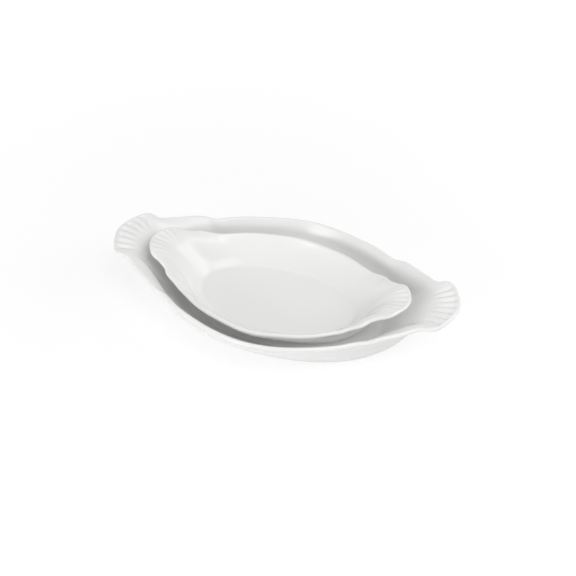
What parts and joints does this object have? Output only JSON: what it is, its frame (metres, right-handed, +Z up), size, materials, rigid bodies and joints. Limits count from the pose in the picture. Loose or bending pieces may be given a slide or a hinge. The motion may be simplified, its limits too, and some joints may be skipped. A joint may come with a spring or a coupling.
{
  "type": "gratin dish",
  "caption": "Oval gratin dishes of white porcelain with fluted, flaring ears, a small one standing in the bowl of a large one.",
  "frame": {"origin": "middle of the large dish's foot, on the surface that it stands on", "axes": "+X along the dishes from ear to ear, +Y across them to the far side, +Z up"},
  "size_m": [0.3658, 0.2034, 0.0557],
  "materials": {
    "glazed_porcelain": "gloss"
  },
  "bodies": {
    "large": {"large_dish": "glazed_porcelain"},
    "small": {"small_dish": "glazed_porcelain"}
  },
  "joints": [
    {"name": "small_dish_lift", "type": "slide", "parent": "large", "child": "small", "axis": [0, 0, 1], "range_m": [0, 0.09]}
  ]
}
